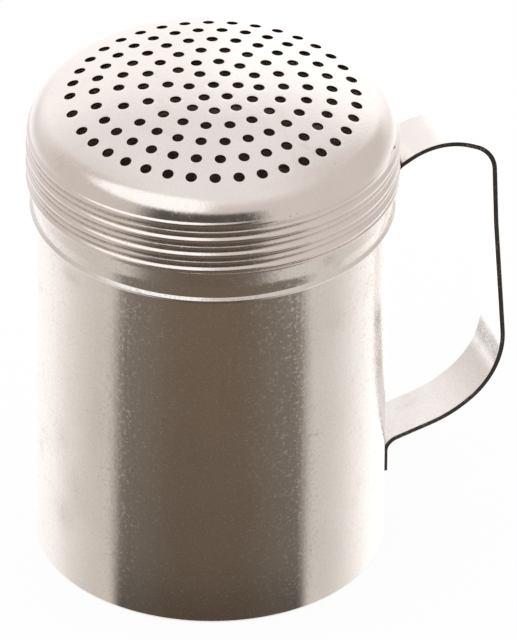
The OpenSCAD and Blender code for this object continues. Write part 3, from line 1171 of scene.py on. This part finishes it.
@dataclass
class Tent:
    """Light tent that shows only in mirroring steel: pale walls, a dark front, a lamp patch.

    A direction is given by its angle off the camera's side and its lift above level. The
    walls' grey rises towards the back, from back_start to back_full, which both lie further
    back higher up. Near level it rises less, except right behind the can. The lamp patch is
    a soft-edged rounded oblong. The dark front is wider near the floor, greyer near its edge
    and darkest a little above level. Its top and its sides have a softness each. The floor's
    lines have near and far points, given by the first and last distance and their number.
    """

    turn: float
    radius: float = 1200
    middle_z: float = 90
    can_r: float = 35
    floor_z: float = 0.1
    camera_lift: float = 33.5
    right_step: Pair = (-60, 120)
    left: float = 0.67
    right: float = 0.69
    rise_reach: float = 53
    back: float = 1.13
    back_right: float = 1.28
    back_start: float = 76
    back_later: Pair = (30, 56)
    back_full: Pair = (142, 14)
    dip: float = 0.3
    dip_lift: Pair = (-3, 13)
    dip_step: Pair = (140, 25)
    roof: float = 0.9
    roof_step: Pair = (45, 35)
    back_roof_step: Pair = (25, 20)
    roof_tint: float = 0.6
    lamp: float = 1.2
    lamp_place: Pair = (-50, 58)
    lamp_reach: Pair = (48, 24)
    lamp_step: Pair = (0.85, 0.3)
    left_tint: Colour = (1, 0.905, 0.825)
    right_tint: Colour = (1, 0.915, 0.85)
    sky_tint: Colour = (1, 0.965, 0.95)
    front: Colour = (0.168, 0.1235, 0.089)
    fringe: Colour = (0.205, 0.17, 0.141)
    fringe_step: Pair = (0.25, 0.6)
    shade: Colour = (0.095, 0.082, 0.07)
    shade_step: Pair = (-25, 20)
    front_low: float = 66
    front_left: float = 41
    front_right: float = 29
    front_step: Pair = (-20, 40)
    front_narrows: float = 10
    front_top: float = 68
    front_soft: Pair = (0.16, 0.5)
    near_floor: tuple[float, float, int] = (0.3, 140, 57)
    far_floor: tuple[float, float, int] = (160, 1200, 28)
    floor_lines: int = 241
    dome_grid: tuple[int, int] = (181, 73)
    dim_least: float = 0.55
    dim_rises: tuple[Pair, ...] = ((0.25, 25), (0.2, 110))

    def glow(self, off: Array, lift: Array, dim: Array) -> Array:
        """Light of the tent in a direction: walls, roof and lamp, and the front over them.

        Args:
            off: angles off the camera's side, -180 to 180.
            lift: angles above level.
            dim: factor on the front's own light.

        Returns:
            Red, green and blue for each direction.
        """
        aside = np.abs(off)
        high = np.clip((lift + self.camera_lift) / self.rise_reach, 0, 1)
        rightward = smooth(off, *self.right_step)
        start = self.back_start + mixed(rightward, *self.back_later) * high
        behind = smooth(aside, start, self.back_full[0] + self.back_full[1] * high - start)
        far = mixed(rightward, self.back, self.back_right)
        dip = self.dip * np.exp(-((lift - self.dip_lift[0]) / self.dip_lift[1]) ** 2)
        far = far - dip * (1 - smooth(aside, *self.dip_step))
        back = mixed(smooth(lift, *self.back_roof_step), far, self.roof)
        level = mixed(behind, mixed(rightward, self.left, self.right), back)
        roof = smooth(lift, *self.roof_step)
        level = mixed(roof, level, self.roof)
        across = (off - self.lamp_place[0]) / self.lamp_reach[0]
        up = (lift - self.lamp_place[1]) / self.lamp_reach[1]
        lamp = 1 - smooth((across ** 4 + up ** 4) ** 0.25, *self.lamp_step)
        level = mixed(lamp, level, self.lamp)[..., None]
        wall = mixed(rightward[..., None], self.left_tint, self.right_tint)
        sky = np.maximum(np.maximum(behind, self.roof_tint * roof), lamp)
        tint = mixed(sky[..., None], wall, self.sky_tint)
        over = np.maximum(lift + self.camera_lift, 0)
        low = np.exp(-(over / self.front_narrows) ** 2)
        narrow = mixed(smooth(off, *self.front_step), self.front_left, self.front_right)
        width = mixed(low, narrow, self.front_low)
        top_soft, side_soft = self.front_soft
        front = mixed(smooth(aside / width, *self.fringe_step)[..., None], self.front, self.fringe)
        shade = smooth(lift, *self.shade_step)[..., None]
        front = mixed(shade, front * dim[..., None], self.shade)
        share = 1 - smooth((aside / width - 1) / mixed(low, side_soft, top_soft) + 0.5)
        share = share * (1 - smooth((over / self.front_top - 1) / top_soft + 0.5))
        return mixed(share[..., None], level * tint, front)

    def floor(self) -> tuple[Array, Array]:
        """Floor of the tent, which the upright wall mirrors.

        A wall point at angle a off the camera mirrors the floor along a line that leaves
        it at angle 2 a. The grid is made of these lines, so that each stretch of the wall
        has one tone. Close to the can the dark front is darker still.

        Returns:
            Rows of points and the light of each.
        """
        a = np.linspace(-180, 180, self.floor_lines)[:, None]
        d = np.concatenate([np.linspace(*self.near_floor), np.linspace(*self.far_floor)])[None]
        off = np.clip(2 * a, -180, 180) + 0 * d
        flat = off_camera(self.turn, a, self.can_r + 0 * a) + off_camera(self.turn, off, d + 0 * a)
        lift = -np.degrees(np.arctan(self.middle_z / (d + self.can_r))) + 0 * a
        rises = (rise * smooth(d / reach) for rise, reach in self.dim_rises)
        dim = sum(rises, self.dim_least + 0 * a)
        points = np.concatenate([flat, np.full(off.shape + (1,), self.floor_z)], axis=-1)
        return points, self.glow(off, np.maximum(lift, -self.camera_lift), dim)

    def dome(self) -> tuple[Array, Array]:
        """Dome of the tent, over angles off the camera and lifts.

        Returns:
            Rows of points and the light of each.
        """
        lowest = -np.degrees(np.arcsin(self.middle_z / self.radius))
        lift, off = np.meshgrid(np.linspace(lowest, 90, self.dome_grid[1]),
                                np.linspace(-180, 180, self.dome_grid[0]))
        flat = off_camera(self.turn, off, self.radius * np.cos(np.radians(lift)))
        high = self.middle_z + self.radius * np.sin(np.radians(lift))
        return np.concatenate([flat, high[..., None]], axis=-1), self.glow(off, lift, 1 + 0 * off)

    def make(self) -> None:
        """Makes the tent of its floor and dome, with a glowing cloth that only gloss sees."""
        blank, lights = Blank(), []
        for points, light in (self.floor(), self.dome()):
            blank.add_grid(points, close_cols=False)
            lights.append(light.reshape(-1, 3))
        mesh = blank.mesh("tent")
        mesh.attributes.new("glow", "FLOAT_COLOR", "POINT")
        light = np.column_stack([np.concatenate(lights), np.ones(len(mesh.vertices))])
        mesh.attributes["glow"].data.foreach_set("color", light.astype(np.float32).ravel())
        cloth = bpy.data.materials.new("tent cloth")
        cloth.cycles.emission_sampling = "NONE"
        w = Nodes(cloth)
        light = w.node("Attribute", {}, attribute_name="glow").outputs["Color"]
        glow = w.node("Emission", {"Color": light}).outputs[0]
        w.join(glow, w.tree.nodes["Material Output"].inputs["Surface"])
        mesh.materials.append(cloth)
        tent = placed("tent", mesh)
        tent.visible_camera = tent.visible_diffuse = tent.visible_shadow = False
        tent.visible_transmission = tent.visible_volume_scatter = False


@dataclass(frozen=True)
class SoftBox:
    """Soft box: its angle off the camera's side, lift, width, height and radiance.

    A radiance of 1 is white.
    """

    name: str
    off_axis: float
    lift: float
    size: Pair
    power: float


@dataclass
class Studio:
    """Pale floor, soft light and the camera.

    The camera is placed by its tilt, its roll and the offset of the can's foot before it.
    """

    camera_turn: float = -20
    tilt: float = 33.4579
    roll: float = 0.53773
    offset: tuple[float, float, float] = (-9.7879, 41.6478, 4349.07)
    lens: float = 1213.29
    sensor: float = 36
    clip: Pair = (0.1, 20)
    white: Colour = (1, 1, 1)
    soft_colour: Colour = (1, 0.99, 0.98)
    soft: float = 0.95
    floor_colour: Colour = (0.9, 0.9, 0.895)
    floor_share: float = 0.93
    floor_half: float = 3.0
    floor_z: float = -0.0001
    lamp_distance: float = 900
    lamp_aim_z: float = 80
    lamps: tuple[SoftBox, ...] = (SoftBox("overhead", -50, 57, (700, 500), 1.0),
                                  SoftBox("left side", -95, 25, (400, 600), 0.8),
                                  SoftBox("right side", 100, 25, (400, 600), 0.8))

    def camera(self) -> None:
        """Places the camera: turned about the can's axis, tilted, rolled and moved back."""
        data = bpy.data.cameras.new("camera")
        data.lens = self.lens
        data.sensor_width = self.sensor
        data.clip_start, data.clip_end = self.clip
        camera = placed("camera", data)
        turns = ((self.camera_turn, "Z"), (90 - self.tilt, "X"), (self.roll, "Z"))
        stand = Matrix()
        for angle, axis in turns:
            stand = stand @ Matrix.Rotation(np.radians(angle), 4, axis)
        x, y, z = self.offset
        camera.matrix_world = stand @ Matrix.Translation(Vector((-x, y, z)) * MM)
        bpy.context.scene.camera = camera

    def world(self) -> None:
        """White surroundings for the camera and for gloss, softer ones for matt surfaces."""
        world = bpy.data.worlds.new("studio")
        bpy.context.scene.world = world
        world.cycles.sampling_method = "NONE"
        w = Nodes(world)
        white, soft = (
            w.node("Background", {"Color": rgba(colour), "Strength": strength}).outputs[0]
            for colour, strength in ((self.white, 1), (self.soft_colour, self.soft)))
        w.show("World Output", w.seen(), soft, white)

    def floor(self) -> None:
        """Plain pale floor that keeps a soft shadow."""
        mesh = bpy.data.meshes.new("floor")
        s = self.floor_half
        mesh.from_pydata([(-s, -s, 0), (s, -s, 0), (s, s, 0), (-s, s, 0)], [], [(0, 1, 2, 3)])
        material = bpy.data.materials.new("pale floor")
        w = Nodes(material)
        shader = w.tree.nodes["Principled BSDF"]
        shader.inputs["Base Color"].default_value = rgba(self.floor_colour)
        shader.inputs["Roughness"].default_value = 1
        shader.inputs["Specular IOR Level"].default_value = 0
        glow = w.node("Emission", {"Color": rgba(self.white)}).outputs[0]
        share = w.maths("MULTIPLY", w.seen(), self.floor_share)
        w.show("Material Output", share, shader.outputs[0], glow)
        mesh.materials.append(material)
        floor = placed("floor", mesh)
        floor.location.z = self.floor_z

    def light(self) -> None:
        """Wide lamp overhead towards the left and softer ones at both sides, aimed at the can."""
        aim = Vector((0, 0, self.lamp_aim_z))
        for box in self.lamps:
            data = bpy.data.lights.new(box.name, "AREA")
            data.shape = "RECTANGLE"
            data.size, data.size_y = box.size[0] * MM, box.size[1] * MM
            data.energy = box.power * np.pi * data.size * data.size_y
            lamp = placed(box.name, data)
            lift = np.radians(box.lift)
            flat = off_camera(self.camera_turn, box.off_axis,
                              np.array(self.lamp_distance * np.cos(lift)))
            way = Vector((*flat, self.lamp_distance * np.sin(lift)))
            lamp.location = (aim + way) * MM
            lamp.visible_glossy = False
            lamp.rotation_mode = "QUATERNION"
            lamp.rotation_quaternion = (-way).to_track_quat("-Z", "Y")


def main() -> None:
    """Builds every piece and the studio."""
    logging.basicConfig(level=logging.INFO, format="%(message)s")
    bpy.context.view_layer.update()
    bpy.context.scene.view_settings.view_transform = "Standard"
    can = Can([CAN_OUTSIDE.make(), CAN_INSIDE.make()])
    can.shell()
    can.neck()
    can.mouth()
    lid = Lid([LID_OUTSIDE.make(), LID_INSIDE.make(), SHADED_HOLE_EDGE.make()])
    lid.crown()
    lid.skirt()
    lid.rim()
    handle = Handle([STRAP_FACE.make(), SHADED_STRAP_EDGE.make()], WELD_STEEL.make())
    handle.strap()
    handle.welds("upper_weld_spots", "upper_weld_nuggets", handle.high_weld_z)
    handle.welds("lower_weld_spots", "lower_weld_nuggets", handle.low_weld_z)
    studio = Studio()
    studio.camera()
    studio.world()
    studio.floor()
    Tent(studio.camera_turn).make()
    studio.light()


if __name__ == "__main__":
    main()
